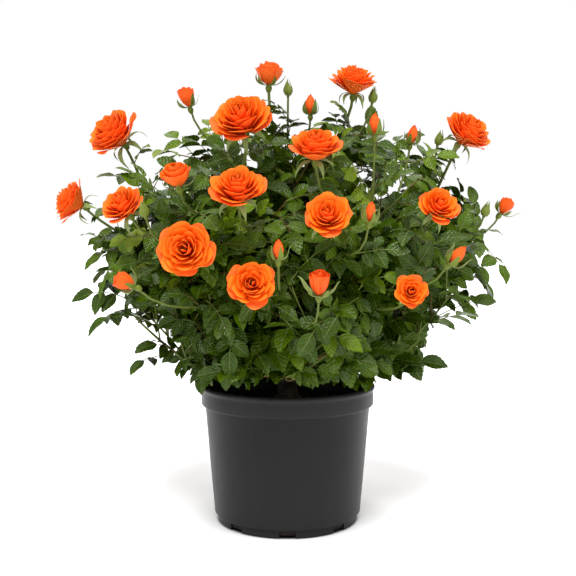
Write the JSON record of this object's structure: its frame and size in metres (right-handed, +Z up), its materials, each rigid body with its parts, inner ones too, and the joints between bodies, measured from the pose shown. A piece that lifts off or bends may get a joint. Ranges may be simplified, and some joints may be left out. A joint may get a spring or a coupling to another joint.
{
  "type": "potted rose bush",
  "caption": "Rounded rose bush with orange double blooms and buds on branching leafy canes, growing in a round tapered nursery pot with a deep rim band and drainage notches.",
  "frame": {"origin": "centre of the pot's flat underside, on the surface it stands on", "axes": "+Z up, -Y towards the front of the bush, +X to the right seen from the front"},
  "size_m": [0.4913, 0.4659, 0.4876],
  "materials": {
    "pot": "satin black",
    "compost": "crumbly",
    "bark": "rough bark",
    "cane": "satin green bark",
    "foliage": "glossy leaf"
  },
  "bodies": {
    "root": {"pot": "pot", "compost": "compost", "rootstock": "bark", "cane_low_1": "cane", "cane_low_2": "cane", "cane_low_3": "cane", "cane_low_4": "cane", "cane_low_5": "cane", "cane_high_1": "cane", "cane_high_2": "cane", "cane_high_3": "cane", "cane_high_4": "cane", "cane_high_5": "cane", "cane_top": "cane", "foliage_low_1": "foliage", "foliage_low_2": "foliage", "foliage_low_3": "foliage", "foliage_low_4": "foliage", "foliage_low_5": "foliage", "foliage_high_1": "foliage", "foliage_high_2": "foliage", "foliage_high_3": "foliage", "foliage_high_4": "foliage", "foliage_high_5": "foliage", "foliage_top": "foliage"}
  },
  "joints": []
}
